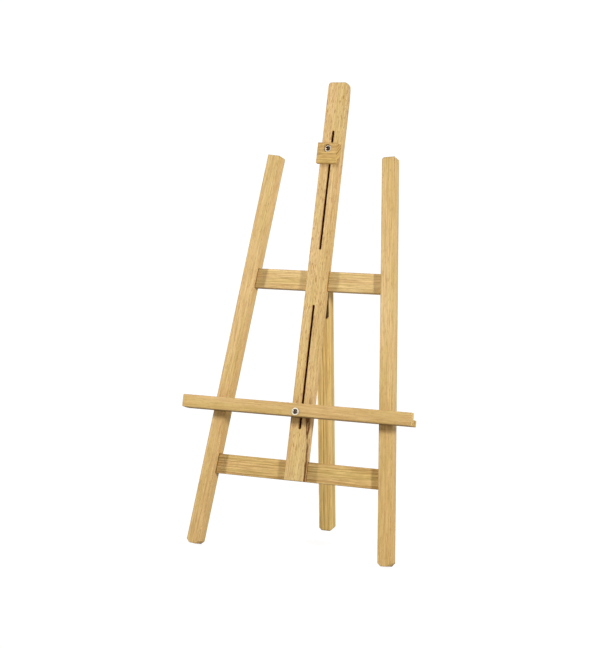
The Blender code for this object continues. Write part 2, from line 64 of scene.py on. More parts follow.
BAR_HEIGHT, BAR_THICK = 37.0, 16.0
BAR_SETBACK = 10.0              # from the frame's front plane to a bar's front
BAR_REAR = -BAR_SETBACK - BAR_THICK
UPPER_BAR_UP, LOWER_BAR_UP = 516.0, 157.0

MAST_WIDTH, MAST_THICK = 40.0, 18.0
MAST_BOTTOM, MAST_TOP = 138.5, 900.0
MAST_SLOTS = ((573.7, 804.8), (234.2, 468.3))   # lower and upper ends
SLOT_WIDTH = 4.8
HOUSING_FIT = 0.15              # play around the mast in the bars

REAR_LEFT, REAR_RIGHT = -13.1, 12.5
REAR_FRONT, REAR_BACK = 3.0, 28.0       # behind the hinge pin
REAR_TOP = 16.0                         # above the hinge pin
REAR_REST = math.radians(19.09)         # turn away from the frame

CLAMP_UP, TRAY_UP = 765.3, 263.8        # the two bolts
GAP = 0.3                               # from the mast to what slides on it
CLAMP_TOP, CLAMP_BOTTOM = 776.0, 736.0
CLAMP_FRONT = 20.3
CLAMP_HALF_WIDTH = 20.0
BORE_FLOOR = CLAMP_FRONT - 5.0
TRAY_LEFT, TRAY_RIGHT = -232.0, 224.0
LEDGE_TOP, LEDGE_BOTTOM, LEDGE_FRONT = 267.5, 255.5, 18.3
LIP_TOP, LIP_BACK, LIP_FRONT = 279.5, 18.6, 30.3

WASHER_THICK = 1.0
NUT_OUT = -19.6                         # the wing nuts' faces towards the mast
BOLT_TAIL = -28.0
BOLT_TURN = math.radians(20)            # of the cross recess

PIN_UP, PIN_OUT = 517.0, -29.0
PIN_OFFSET = 1.95               # from a hinge leaf's middle plane to the pin's axis
LEAF_THICK = 1.5
LEAF_SCREW_LIFT = 1.2           # from the pin's axis to the leaf screws' heads

# (across, up) of the screws that hold the bars to the mast
MAST_SCREWS = (
    (-11.0, UPPER_BAR_UP + 11.0), (11.0, UPPER_BAR_UP + 11.0),
    (-10.0, LOWER_BAR_UP + 7.0), (10.0, LOWER_BAR_UP - 7.0),
)
# (across, down from the pin, length)
CROSS_LEAF_SCREWS = ((-27.0, 7.0, 13.0), (-17.5, 12.5, 8.5), (17.5, 12.5, 8.5), (27.0, 7.0, 13.0))
# (across, down the rear leg from the pin)
STRAP_SCREWS = ((-5.0, 19.0), (5.0, 39.0), (-5.0, 60.0))
TRAY_SCREWS = (-205.0, -90.0, 80.0, 195.0)      # across
TRAY_SCREW_UP = (LEDGE_TOP + LEDGE_BOTTOM) / 2

# The clamp turns about its bolt 10 mm out from the frame's front plane.
ORIGIN = Vector(joints["clamp_swivel"]["pos_m"]) - UP * CLAMP_UP * MM - FRONT * 10 * MM
PIN = Vector(joints["rear_leg_hinge"]["pos_m"])

rest_turn = Matrix.Rotation(REAR_REST, 3, "X")
REAR_LEG_UP = rest_turn @ UP
REAR_LEG_BACK = rest_turn @ BACK

COLLECTION = bpy.context.scene.collection


# ------------------------------------------------------------------ places
def at(across, up, out):
    """A place on the front frame, in world metres."""
    return ORIGIN + RIGHT * (across * MM) + UP * (up * MM) + FRONT * (out * MM)


def axes(x_axis, y_axis, z_axis, origin):
    """The matrix that puts local x, y, z along these directions."""
    matrix = Matrix((x_axis, y_axis, z_axis)).transposed().to_4x4()
    matrix.translation = origin
    return matrix


def facing_front(up, out):
    """Local z out of the front, on the middle line."""
    return axes(RIGHT, UP, FRONT, at(0, up, out))


def facing_back(across, up, out):
    """Local z out of the back, local y down."""
    return axes(RIGHT, -UP, BACK, at(across, up, out))


def lying(up, out=0):
    """Local x down, y to the back and z to the right, so that the grain runs across."""
    return axes(-UP, BACK, RIGHT, at(0, up, out))


def on_rear_leg(across, down, behind):
    """Local z out of the rear leg's front, at a place measured from the pin."""
    place = PIN + RIGHT * across * MM - REAR_LEG_UP * down * MM + REAR_LEG_BACK * behind * MM
    return axes(RIGHT, REAR_LEG_UP, -REAR_LEG_BACK, place)


# ------------------------------------------------------------- node helpers
class Graph:
    """A new material's nodes. Any value may be a number, a tuple or a socket."""

    def __init__(self, name):
        self.material = bpy.data.materials.new(name)
        self.material.use_nodes = True
        self.tree = self.material.node_tree
        self.shader = self.tree.nodes["Principled BSDF"]

    def node(self, kind, **settings):
        made = self.tree.nodes.new(kind)
        for key, value in settings.items():
            setattr(made, key, value)
        return made

    def put(self, socket, value):
        if isinstance(value, bpy.types.NodeSocket):
            self.tree.links.new(value, socket)
        else:
            socket.default_value = value

    def shade(self, **values):
        """Sets the shader's inputs: Base_Color is its "Base Color", and so on."""
        for key, value in values.items():
            self.put(self.shader.inputs[key.replace("_", " ")], value)

    def calc(self, operation, first, second=None):
        node = self.node("ShaderNodeMath", operation=operation)
        self.put(node.inputs[0], first)
        if second is not None:
            self.put(node.inputs[1], second)
        return node.outputs[0]

    def times(self, first, second):
        return self.calc("MULTIPLY", first, second)

    def hypot(self, first, second):
        squares = self.calc("ADD", self.times(first, first), self.times(second, second))
        return self.calc("SQRT", squares)

    def vec(self, operation, first, second=None):
        node = self.node("ShaderNodeVectorMath", operation=operation)
        self.put(node.inputs[0], first)
        if second is not None:
            self.put(node.inputs[1], second)
        return node.outputs["Value" if operation in ("LENGTH", "DOT_PRODUCT") else 0]

    def split(self, vector):
        node = self.node("ShaderNodeSeparateXYZ")
        self.put(node.inputs[0], vector)
        return node.outputs

    def noise(self, vector, scale=1.0, detail=2.0, rough=0.5, offset=None, cycles=None,
              output="Fac"):
        """Noise; cycles gives its frequency per metre across (x, y) and along (z)."""
        if offset:
            vector = self.vec("ADD", vector, offset)
        if cycles:
            across, along = cycles
            vector = self.vec("MULTIPLY", vector, (across, across, along))
        node = self.node("ShaderNodeTexNoise")
        self.put(node.inputs["Vector"], vector)
        node.inputs["Scale"].default_value = scale
        node.inputs["Detail"].default_value = detail
        node.inputs["Roughness"].default_value = rough
        return node.outputs[output]

    def ramp(self, value, start, end, to=(0.0, 1.0), smooth=True):
        """Maps start..end, which may fall, to the two ends of to, clamped."""
        node = self.node("ShaderNodeMapRange", clamp=True)
        node.interpolation_type = "SMOOTHSTEP" if smooth else "LINEAR"
        self.put(node.inputs["Value"], value)
        node.inputs["From Min"].default_value = start
        node.inputs["From Max"].default_value = end
        node.inputs["To Min"].default_value = to[0]
        node.inputs["To Max"].default_value = to[1]
        return node.outputs["Result"]

    def mix(self, factor, base, towards):
        node = self.node("ShaderNodeMix", data_type="RGBA", clamp_factor=True)
        self.put(node.inputs["Factor"], factor)
        self.put(node.inputs[6], base)
        self.put(node.inputs[7], towards)
        return node.outputs[2]

    def tint(self, base, field, start, end, strength, towards):
        """Mixes towards a colour where the field goes from start to end."""
        return self.mix(self.times(self.ramp(field, start, end), strength), base, towards)

    def bevel(self, radius, samples):
        """A normal rounded over the edges."""
        node = self.node("ShaderNodeBevel", samples=samples)
        node.inputs["Radius"].default_value = radius
        return node.outputs["Normal"]

    def bump(self, height, strength, distance, normal=None):
        node = self.node("ShaderNodeBump")
        node.inputs["Strength"].default_value = strength
        node.inputs["Distance"].default_value = distance
        self.put(node.inputs["Height"], height)
        if normal is not None:
            self.put(node.inputs["Normal"], normal)
        self.shade(Normal=node.outputs["Normal"])


def rgb(*screen):
    """A colour given as 0-255 screen values, as linear RGBA."""
    linear = []
    for value in screen:
        value = value / 255
        linear.append(value / 12.92 if value <= 0.04045 else ((value + 0.055) / 1.055) ** 2.4)
    return (*linear, 1.0)


def scaled(colour, factor, lift=0.0):
    return [min(1.0, channel * factor + lift) for channel in colour[:3]] + [1.0]


# ----------------------------------------------------------- wood materials
PITH_LEAN = 0.0             # how far the pith leans in x and y per metre of grain
# how strongly painted shade darkens the arrises that turn away from the eye
EDGE_SHADE_AMOUNT = 0.80
YELLOW_DRIFT = rgb(226, 182, 122)
GREEN_DRIFT = rgb(212, 184, 108)
RESIN = rgb(98, 48, 12)
SCORCH = rgb(132, 78, 36)
# painted shade on the arrises that turn away from the eye
EDGE_SHADE = rgb(112, 90, 48)
# painted shade in corners and along the lines where pieces meet
CORNER_SHADE = rgb(74, 42, 16)


def growth_rings(g, bent, moved, seed, pith, spacing, wander):
    """How dark the growth ring is, by the distance from the pith."""
    across, through, along = g.split(bent)
    lean_x = g.times(along, PITH_LEAN)
    lean_y = g.times(along, PITH_LEAN)
    from_x = g.calc("ADD", g.calc("SUBTRACT", across, pith[0]), lean_x)
    from_y = g.calc("ADD", g.calc("SUBTRACT", through, pith[1]), lean_y)
    away = g.hypot(from_x, from_y)
    uneven = g.noise(moved, cycles=(60.0, 3.0))
    cycle = g.calc("ADD", g.calc("DIVIDE", away, spacing), g.times(uneven, wander))
    # good and poor years: the rings' widths and their depths of colour vary
    years = g.node("ShaderNodeCombineXYZ")
    g.put(years.inputs[0], g.times(away, 0.55 / spacing))
    years.inputs[1].default_value = seed
    cycle = g.calc("ADD", cycle, g.times(g.noise(years.outputs[0], detail=1.0), 2.2))
    phase = g.calc("FRACT", cycle)
    depth = g.node("ShaderNodeTexWhiteNoise", noise_dimensions="1D")
    g.put(depth.inputs["W"], g.calc("FLOOR", g.calc("ADD", cycle, seed * 7.0)))
    # a slow rise through the year, then a quick fall
    rise = g.ramp(phase, 0.10, 0.80)
    fall = g.ramp(phase, 0.88, 1.0, to=(1.0, 0.0))
    year_depth = g.ramp(depth.outputs["Value"], 0.0, 1.0, to=(0.25, 1.0))
    return g.times(g.times(rise, fall), year_depth)


def resin_streak(g, colour, place, parts, across_ends, along_ends, strength):
    """A dark resin streak that runs down the front and out over one arris."""
    across, through, along = parts
    end = along_ends[1]
    middle = g.ramp(along, *along_ends, to=across_ends, smooth=False)
    weave = g.noise(place, detail=3.0, cycles=(150.0, 22.0))
    swing = g.times(g.calc("SUBTRACT", weave, 0.5), 0.0110)
    off = g.calc("ADD", g.calc("SUBTRACT", across, middle), swing)
    # depth counts for less than width, so the streak reaches into the wood
    sunk = g.times(through, g.times(through, 0.10))
    off = g.calc("SQRT", g.calc("ADD", g.times(off, off), sunk))
    # wider towards its upper end
    off = g.calc("SUBTRACT", off, g.times(g.ramp(along, end - 0.030, end), 0.0016))
    band = g.ramp(off, 0.0011, 0.0034, to=(1.0, 0.0))
    span = g.ramp(along, end + 0.004, end + 0.060, to=(1.0, 0.0))
    broken = g.noise(place, detail=4.0, rough=0.65, cycles=(420.0, 60.0))
    mask = g.times(g.times(band, span), g.ramp(broken, 0.36, 0.52, to=(0.34, 1.0)))
    return g.mix(g.times(mask, strength), colour, RESIN)


def scorched_rim(g, colour, place, parts, low, high, radius):
    """The router has left scorch marks round a slot's rim."""
    across, _, along = parts
    below = g.calc("SUBTRACT", low + radius, along)
    above = g.calc("SUBTRACT", along, high - radius)
    beyond = g.calc("MAXIMUM", g.calc("MAXIMUM", below, above), 0.0)
    reach = g.hypot(across, beyond)
    torn = g.noise(place, detail=3.0, rough=0.6, cycles=(500.0, 130.0))
    ragged = g.times(g.calc("SUBTRACT", 0.5, torn), 0.0022)
    reach = g.calc("ADD", g.calc("SUBTRACT", reach, radius), ragged)
    return g.mix(g.ramp(reach, -0.0002, 0.0003, to=(0.45, 0.0)), colour, SCORCH)


def dark_edges(g, colour, bevel, broad):
    """Paints shade over the arrises that turn away from the eye, and in the corners and lines
    where two pieces meet.
    """
    # painted shade where an arris turns away from the eye, which outlines the silhouettes
    geometry = g.node("ShaderNodeNewGeometry")
    incoming = geometry.outputs["Incoming"]
    seen = g.vec("DOT_PRODUCT", geometry.outputs["Normal"], incoming)
    turned = g.vec("DOT_PRODUCT", bevel, incoming)
    rounding = g.ramp(g.calc("SUBTRACT", seen, turned), 0.05, 0.34)
    arris = g.calc("MAXIMUM", rounding, g.ramp(seen, 0.26, 0.04))
    shaded_edge = g.times(arris, g.ramp(broad, 0.3, 0.7, to=(0.70, 1.0)))
    colour = g.mix(g.times(shaded_edge, EDGE_SHADE_AMOUNT), colour, EDGE_SHADE)
    # painted shade, by ambient occlusion, in corners, recesses and where pieces meet
    corner = g.node("ShaderNodeAmbientOcclusion", samples=6)
    corner.inputs["Distance"].default_value = 0.0032
    return g.mix(g.ramp(corner.outputs["AO"], 0.78, 0.48, to=(0.0, 0.62)), colour, CORNER_SHADE)


def wood(name, palette, seed, pith, spacing, rings, fleck, fibre, wobble=1.0, wander=1.1,
         grade=None, streak=None, burn=(), fleck_colour=None):
    """Wood whose grain runs along the piece's local z; lengths in metres.

    palette: its light, middle and dark colours. pith: the tree's centre in x, y.
    spacing: of the rings. rings, fleck, fibre: how strongly each shows. wobble: how far
    the grain bends. wander: how uneven the rings are. grade: (colour, z where full,
    z where gone, amount). streak: arguments for resin_streak. burn: the slots with
    scorch marks round their rims, as (low, high, radius).
    """
    light, mid, dark = palette
    g = Graph(name)
    coord = g.node("ShaderNodeTexCoord")
    place = coord.outputs["Object"]
    moved = g.vec("ADD", place, (seed * 1.37, seed * 2.11, seed * 0.73))
    # slow bends of the grain
    bend = g.noise(moved, detail=2.5, cycles=(9.0, 2.2), output="Color")
    shift = g.vec("SUBTRACT", bend, (0.5, 0.5, 0.5))
    shift = g.vec("MULTIPLY", shift, (0.020 * wobble, 0.020 * wobble, 0.0))
    bent = g.vec("ADD", place, shift)
    ring = growth_rings(g, bent, moved, seed, pith, spacing, wander)

    # fibres, long streaks, and the short dark flecks of the pores
    fibres = g.noise(bent, rough=0.6, offset=(seed, seed, seed), cycles=(1100.0, 24.0))
    streaks = g.noise(bent, detail=3.0, rough=0.65, offset=(seed * 3, seed, seed),
                      cycles=(430.0, 9.0))
    pores = g.noise(bent, detail=1.0, offset=(seed, seed * 5, seed), cycles=(820.0, 105.0))
    flecks = g.ramp(pores, 0.575, 0.66)
    short = g.noise(bent, rough=0.55, offset=(seed * 2, seed, seed * 4), cycles=(640.0, 22.0))
    broad = g.noise(moved, cycles=(26.0, 5.0))

    colour = g.mix(g.ramp(broad, 0.32, 0.70), light, mid)
    if grade:
        deep, z_full, z_gone, amount = grade
        height = g.split(place)[2]
        colour = g.mix(g.ramp(height, z_full, z_gone, to=(amount, 0.0)), colour, deep)
    colour = g.mix(g.times(ring, rings), colour, dark)
    colour = g.tint(colour, streaks, 0.48, 0.70, strength=fibre, towards=dark)
    colour = g.tint(colour, short, 0.50, 0.64, strength=fibre * 0.80, towards=dark)
    colour = g.tint(colour, short, 0.48, 0.36, strength=fibre * 0.60, towards=scaled(light, 1.20))
    # a faint drift of hue
    drift = g.noise(moved, cycles=(75.0, 7.0))
    colour = g.mix(g.ramp(drift, 0.40, 0.68, to=(0.0, 0.26)), colour, YELLOW_DRIFT)
    colour = g.mix(g.ramp(drift, 0.58, 0.34, to=(0.0, 0.35)), colour, GREEN_DRIFT)
    colour = g.tint(colour, streaks, 0.46, 0.30, strength=fibre * 0.5, towards=scaled(light, 1.14))
    colour = g.tint(colour, fibres, 0.46, 0.68, strength=fibre * 0.6, towards=dark)
    colour = g.mix(g.times(flecks, fleck), colour, fleck_colour or scaled(dark, 0.62))
    if streak or burn:
        parts = g.split(place)
    if streak:
        colour = resin_streak(g, colour, place, parts, **streak)
    for low, high, radius in burn:
        colour = scorched_rim(g, colour, place, parts, low, high, radius)
    bevel = g.bevel(radius=0.0024, samples=6)
    colour = dark_edges(g, colour, bevel, broad)

    # end grain: darker, and it shows the rings as arcs
    end = g.ramp(g.calc("ABSOLUTE", g.split(coord.outputs["Normal"])[2]), 0.72, 0.92)
    end_colour = g.mix(ring, scaled(mid, 1.08), scaled(dark, 0.92))
    speck = g.noise(place, cycles=(1800.0, 1800.0))
    end_colour = g.mix(g.ramp(speck, 0.5, 0.7, to=(0.0, 0.35)), end_colour, scaled(dark, 0.45))

    rough = g.calc("ADD", g.ramp(fibres, 0.3, 0.8, to=(0.44, 0.60)), g.times(end, 0.2))
    g.shade(Base_Color=g.mix(end, colour, end_colour), Roughness=rough, Specular_IOR_Level=0.12)
    height = g.calc("ADD", g.times(fibres, 0.55), g.times(ring, -0.35))
    height = g.calc("SUBTRACT", height, g.times(flecks, 0.5))
    g.bump(height, strength=0.35, distance=0.00018, normal=bevel)
    return g.material


# ---------------------------------------------------------- other materials
def metal(name, colour, dull, rough, seed, metallic=1.0, spots=0.3, glow=None):
    """Plated or blackened steel, with brushing, dulling and worn edges.

    rough: where it is cleanest. spots: how dark the pits are. glow: (colour, strength) of a
    painted glow, an emission that stands in for light.
    """
    g = Graph(name)
    coord = g.node("ShaderNodeTexCoord")
    place = g.vec("ADD", coord.outputs["Object"], (seed, seed * 1.7, seed * 0.3))
    cloud = g.noise(place, scale=260.0, detail=4.0, rough=0.6)
    brushing = g.noise(place, detail=3.0, rough=0.6, cycles=(900.0, 9000.0))
    pits = g.ramp(g.noise(place, scale=1900.0, rough=0.6), 0.58, 0.72)
    bevel = g.bevel(radius=0.0005, samples=4)
    geometry = g.node("ShaderNodeNewGeometry")
    flat = g.vec("DOT_PRODUCT", bevel, geometry.outputs["Normal"])
    arris = g.ramp(flat, 0.995, 0.80)
    tone = g.mix(g.ramp(cloud, 0.35, 0.70), colour, dull)
    tone = g.mix(g.times(pits, spots), tone, scaled(dull, 0.5))
    tone = g.mix(g.times(arris, 0.7), tone, scaled(colour, 1.25, lift=0.05))
    uneven = g.times(brushing, 0.08)
    worn = g.ramp(cloud, 0.3, 0.75, to=(rough, rough + 0.18))
    g.shade(Base_Color=tone, Metallic=metallic, Roughness=g.calc("ADD", worn, uneven))
    # painted light: an emission glow, though the part is no lamp
    if glow:
        g.shade(Emission_Color=glow[0], Emission_Strength=glow[1])
    height = g.calc("ADD", brushing, g.times(pits, -0.6))
    g.bump(height, strength=0.125, distance=0.00005, normal=bevel)
    return g.material


def slot_wall_shade(name, seed):
    """The routed slots' rough walls: painted shade makes them dark brown, and painted light makes
    them pale near the front face.
    """
    g = Graph(name)
    coord = g.node("ShaderNodeTexCoord")
    place = g.vec("ADD", coord.outputs["Object"], (seed, seed, seed))
    cloud = g.noise(place, detail=4.0, rough=0.65, cycles=(200.0, 70.0))
    grit = g.noise(place, scale=1600.0, detail=3.0, rough=0.7)
    # painted shade: the walls' dark browns
    tone = g.mix(g.ramp(cloud, 0.36, 0.70), rgb(70, 28, 8), rgb(106, 54, 20))
    tone = g.mix(g.ramp(grit, 0.55, 0.8, to=(0.0, 0.5)), tone, rgb(40, 18, 8))
    depth = g.split(coord.outputs["Object"])[1]
    ragged = g.calc("ADD", depth, g.times(g.calc("SUBTRACT", cloud, 0.5), 0.006))
    # painted light: the walls turn pale near the front face
    rim = g.ramp(ragged, 0.0012, 0.0044, to=(0.97, 0.0))
    tone = g.mix(rim, tone, rgb(216, 166, 106))
    g.shade(Base_Color=tone, Roughness=0.8, Specular_IOR_Level=0.0)
    g.bump(grit, strength=0.6, distance=0.0003)
    return g.material


# palettes: light, middle, dark
PALE = (rgb(231, 202, 147), rgb(221, 189, 130), rgb(177, 139, 81))
WARM = (rgb(226, 191, 126), rgb(214, 177, 108), rgb(156, 114, 54))
# painted light: the rear leg's light and middle tones are paler than the frame's, to lift it out
# of the shade it stands in behind the frame
DEEP = (rgb(250, 219, 147), rgb(239, 205, 127), rgb(128, 90, 38))
BAR = (rgb(231, 199, 136), rgb(219, 186, 118), rgb(154, 116, 56))
PALER = (rgb(239, 210, 153), rgb(229, 196, 134), rgb(163, 124, 66))
TICK = rgb(160, 104, 56)        # reddish flecks

MAST_STREAK = dict(across_ends=(0.0210, 0.0150), along_ends=(0.015, 0.112), strength=0.95)
MAST_BURN = [
    ((low - MAST_BOTTOM) * MM, (high - MAST_BOTTOM) * MM, SLOT_WIDTH / 2 * MM)
    for low, high in MAST_SLOTS
]

MAT = {
    "mast": wood(
        "mast_pine", PALE, seed=1.3, pith=(0.110, 0.10), spacing=0.0052, rings=0.22,
        fleck=0.62, fibre=0.54, wobble=0.7, streak=MAST_STREAK, fleck_colour=TICK,
        burn=MAST_BURN),
    "left_leg": wood(
        "left_leg_pine", PALE, seed=2.9, pith=(-0.11, 0.07), spacing=0.0043, rings=0.34,
        fleck=0.36, fibre=0.56, wobble=0.6, grade=(rgb(208, 168, 102), 0.05, 0.42, 0.45),
        fleck_colour=TICK),
    "right_leg": wood(
        "right_leg_pine", PALE, seed=4.1, pith=(0.13, 0.06), spacing=0.0041, rings=0.32,
        fleck=0.32, fibre=0.54, wobble=0.6, grade=(rgb(206, 166, 94), 0.05, 0.45, 0.60),
        fleck_colour=TICK),
    # its palette is painted light, paler to make up for its shade
    "rear_leg": wood(
        "rear_leg_pine", DEEP, seed=5.7, pith=(0.10, -0.03), spacing=0.0080, rings=0.80,
        fleck=0.10, fibre=0.34, wobble=0.30, wander=0.7),
    "upper_crossbar": wood(
        "upper_bar_pine", PALER, seed=6.2, pith=(0.12, 0.04), spacing=0.0036, rings=0.48,
        fleck=0.22, fibre=0.55, wobble=0.8, wander=2.0),
    "lower_crossbar": wood(
        "lower_bar_pine", BAR, seed=7.8, pith=(0.075, 0.028), spacing=0.0050, rings=0.80,
        fleck=0.18, fibre=0.60, wobble=1.3, wander=2.6),
    "clamp_block": wood(
        "clamp_pine", WARM, seed=8.4, pith=(0.10, 0.06), spacing=0.0050, rings=0.50,
        fleck=0.35, fibre=0.6),
    "tray_lip": wood(
        "tray_lip_pine", PALE, seed=9.6, pith=(0.09, 0.05), spacing=0.0046, rings=0.24,
        fleck=0.26, fibre=0.45, wobble=1.4, grade=(rgb(190, 153, 85), -9.0, 9.0, 0.95),
        fleck_colour=TICK, wander=2.0),
    "tray_ledge": wood(
        "tray_ledge_pine", WARM, seed=11.2, pith=(0.04, 0.10), spacing=0.0052, rings=0.35,
        fleck=0.35, fibre=0.55),
    "slot": slot_wall_shade("slot_walls", seed=3.3),
    "zinc": metal(
        "bright_zinc", colour=(0.74, 0.74, 0.72, 1), dull=(0.52, 0.52, 0.51, 1),
        rough=0.12, seed=2.2),
    # painted reflection: the plated bolts are coloured dark brown to stand in for the dim room
    # their heads mirror
    "bolt": metal(
        "shade_darkened_bolt", colour=(0.18, 0.135, 0.09, 1), dull=(0.07, 0.05, 0.03, 1),
        rough=0.16, seed=2.7, metallic=0.9),
    "yellow": metal(
        "yellow_plate", colour=(0.98, 0.93, 0.80, 1), dull=(0.93, 0.85, 0.67, 1),
        rough=0.36, seed=5.1, metallic=0.60, spots=0.15),
    # painted light: down in its counterbore the clamp's washer lies in shade, so it glows to stand
    # in for the light the bore walls keep off it
    "bright": metal(
        "bright_washer", colour=(0.98, 0.93, 0.80, 1), dull=(0.95, 0.88, 0.72, 1),
        rough=0.36, seed=4.4, metallic=0.25, spots=0.1, glow=((1.0, 0.93, 0.78, 1), 0.36)),
    "black": metal(
        "black_steel", colour=(0.120, 0.062, 0.024, 1), dull=(0.050, 0.028, 0.012, 1),
        rough=0.34, seed=7.3, metallic=0.35),
}


# ----------------------------------------------------------- piece helpers
def add(name, node, mesh, matrix, materials):
    """An object that stands in for a CAD node."""
    obj = bpy.data.objects.new(name, mesh)
    COLLECTION.objects.link(obj)
    obj.matrix_world = matrix
    for material in materials:
        obj.data.materials.append(material)
    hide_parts(node)
    return obj


def add_wood(node, mesh, matrix, edge, extra=()):
    """A wooden piece with eased edges; extra materials follow its own."""
    obj = add(node + "_wood", node, mesh, matrix, [MAT[node], *extra])
    ease(obj, edge)
    return obj


def add_metal(node, mesh, matrix, metal_key):
    return add(node + "_metal", node, mesh, matrix, [MAT[metal_key]])


def ease(obj, width, segments=3):
    bevel = obj.modifiers.new("eased_edges", "BEVEL")
    bevel.width = width * MM
    bevel.segments = segments
    bevel.limit_method = "ANGLE"
    bevel.angle_limit = math.radians(32)


def bake(obj):
    """Applies the object's modifiers."""
    bpy.context.view_layer.update()
    graph = bpy.context.evaluated_depsgraph_get()
    mesh = bpy.data.meshes.new_from_object(obj.evaluated_get(graph))
    old = obj.data
    obj.modifiers.clear()
    obj.data = mesh
    if old.users == 0:
        bpy.data.meshes.remove(old)


def cutter(mesh, matrix, material=None):
    obj = bpy.data.objects.new("cut", mesh)
    COLLECTION.objects.link(obj)
    obj.matrix_world = matrix
    if material:
        obj.data.materials.append(material)
    return obj


def carve(obj, tools, operation="DIFFERENCE"):
    """Applies the object's modifiers, then these booleans in turn."""
    for tool in tools:
        boolean = obj.modifiers.new("carve", "BOOLEAN")
        boolean.operation = operation
        boolean.object = tool
        boolean.solver = "EXACT"
        boolean.material_mode = "TRANSFER"
    bake(obj)
    for tool in tools:
        mesh = tool.data
        bpy.data.objects.remove(tool, do_unlink=True)
        bpy.data.meshes.remove(mesh)


def finish(obj, body, angle=35):
    """Smooths the shading up to this angle and ties the piece to its body."""
    obj.data.shade_smooth()
    obj.data.set_sharp_from_angle(angle=math.radians(angle))
    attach(obj, body)


# ------------------------------------------------------------ mesh helpers
def mesh_from(bm, name, outward=True):
    if outward:
        bmesh.ops.recalc_face_normals(bm, faces=bm.faces)
    mesh = bpy.data.meshes.new(name)
    bm.to_mesh(mesh)
    bm.free()
    return mesh


# Tests of an edge's two ends, which pick the edges of a block to bevel.
def on(axis, value):
    def test(a, b):
        return all(abs(getattr(end, axis) - value) < 1e-4 for end in (a, b))
    return test


def above(height):
    return lambda a, b: min(a.z, b.z) > height


def level_in_x(a, b):
    return abs(a.x - b.x) < 1e-4


def block(low, high, bevels=(), name="block"):
    """A box in mm, as a mesh in metres. Bevels are (edge tests, width, segments)."""
    low, high = Vector(low), Vector(high)
    bm = bmesh.new()
    bmesh.ops.create_cube(bm, size=1.0)
    bmesh.ops.scale(bm, vec=high - low, verts=bm.verts)
    bmesh.ops.translate(bm, vec=(high + low) / 2, verts=bm.verts)
    for tests, offset, segments in bevels:
        picked = [
            edge for edge in bm.edges
            if all(test(edge.verts[0].co, edge.verts[1].co) for test in tests)
        ]
        bmesh.ops.bevel(bm, geom=picked, offset=offset, offset_type="OFFSET",
                        segments=segments, profile=0.5, affect="EDGES", clamp_overlap=True)
    bmesh.ops.scale(bm, vec=Vector((MM, MM, MM)), verts=bm.verts)
    return mesh_from(bm, name, outward=False)


def lathe(profile, segments=48, name="lathe"):
    """A turned mesh about local z, from (radius, height) in mm.
    A closed profile, one that ends where it started, makes a ring."""
    closed = profile[0] == profile[-1]
    bm = bmesh.new()
    rows = []
    for radius, height in profile[:-1] if closed else profile:
        if radius < 1e-9:
            rows.append([bm.verts.new((0, 0, height * MM))])
            continue
        angles = [2 * math.pi * i / segments for i in range(segments)]
        rows.append([
            bm.verts.new((radius * MM * math.cos(a), radius * MM * math.sin(a), height * MM))
            for a in angles
        ])
    pairs = list(zip(rows, rows[1:]))
    if closed:
        pairs.append((rows[-1], rows[0]))
    for upper, lower in pairs:
        for i in range(segments):
            j = (i + 1) % segments
            corners = []
            for row, k in ((upper, i), (lower, i), (lower, j), (upper, j)):
                vert = row[k % len(row)]
                if vert not in corners:
                    corners.append(vert)
            if len(corners) > 2:
                bm.faces.new(corners)
    return mesh_from(bm, name)


def extruded(corners, shift, name):
    """A flat face with these corners, drawn out along shift, all in mm."""
    bm = bmesh.new()
    face = bm.faces.new([bm.verts.new([c * MM for c in corner]) for corner in corners])
    out = bmesh.ops.extrude_face_region(bm, geom=[face])
    verts = [v for v in out["geom"] if isinstance(v, bmesh.types.BMVert)]
    bmesh.ops.translate(bm, vec=Vector([c * MM for c in shift]), verts=verts)
    return mesh_from(bm, name)


def outline(points, thickness, name):
    """A flat shape in local x, y, centred on z with this thickness."""
    corners = [(x, y, -thickness / 2) for x, y in points]
    return extruded(corners, (0, 0, thickness), name)


def slot_tool(low, high):
    """A round-ended cutter along z, through the mast in y. Its long sides wander
    a little, as a routed slot's do."""
    ragged = 0.25
    overrun = 5.0
    arc_steps = 20
    side_steps = int((high - low) / 5)
    r = SLOT_WIDTH / 2
    points = []
    for i in range(arc_steps + 1):
        a = math.pi * i / arc_steps
        points.append((r * math.cos(a), high - r + r * math.sin(a)))
    for i in range(1, side_steps):
        z = (high - r) + (low - high + 2 * r) * i / side_steps
        points.append((-r + ragged * noise.noise(Vector((z * 0.11, 4.0, 1.0))), z))
    for i in range(arc_steps + 1):
        a = math.pi + math.pi * i / arc_steps
        points.append((r * math.cos(a), low + r + r * math.sin(a)))
    for i in range(1, side_steps):
        z = (low + r) + (high - low - 2 * r) * i / side_steps
        points.append((r + ragged * noise.noise(Vector((z * 0.13, 9.0, 2.0))), z))
    corners = [(x, -overrun, z) for x, z in points]
    return extruded(corners, (0, MAST_THICK + 2 * overrun, 0), "slot")


def countersink(radius=3.3):
    shaft = 1.9
    return lathe([
        (0, 2.0), (radius, 2.0), (radius, -0.25), (shaft, -2.0), (shaft, -6.0), (0, -6.0),
    ], 32)


def bolt_hole(up):
    """A cutter for a bolt's hole, right through from front to back."""
    mesh = lathe([(0, 60.0), (2.4, 60.0), (2.4, -30.0), (0, -30.0)], 40)
    return cutter(mesh, facing_front(up, 0))


def join(obj, extra, name, material):
    """Adds these meshes to the object's own, as one mesh."""
    bm = bmesh.new()
    bm.from_mesh(obj.data)
    for mesh in extra:
        bm.from_mesh(mesh)
        bpy.data.meshes.remove(mesh)
    obj.data = mesh_from(bm, name, outward=False)
    obj.data.materials.append(material)


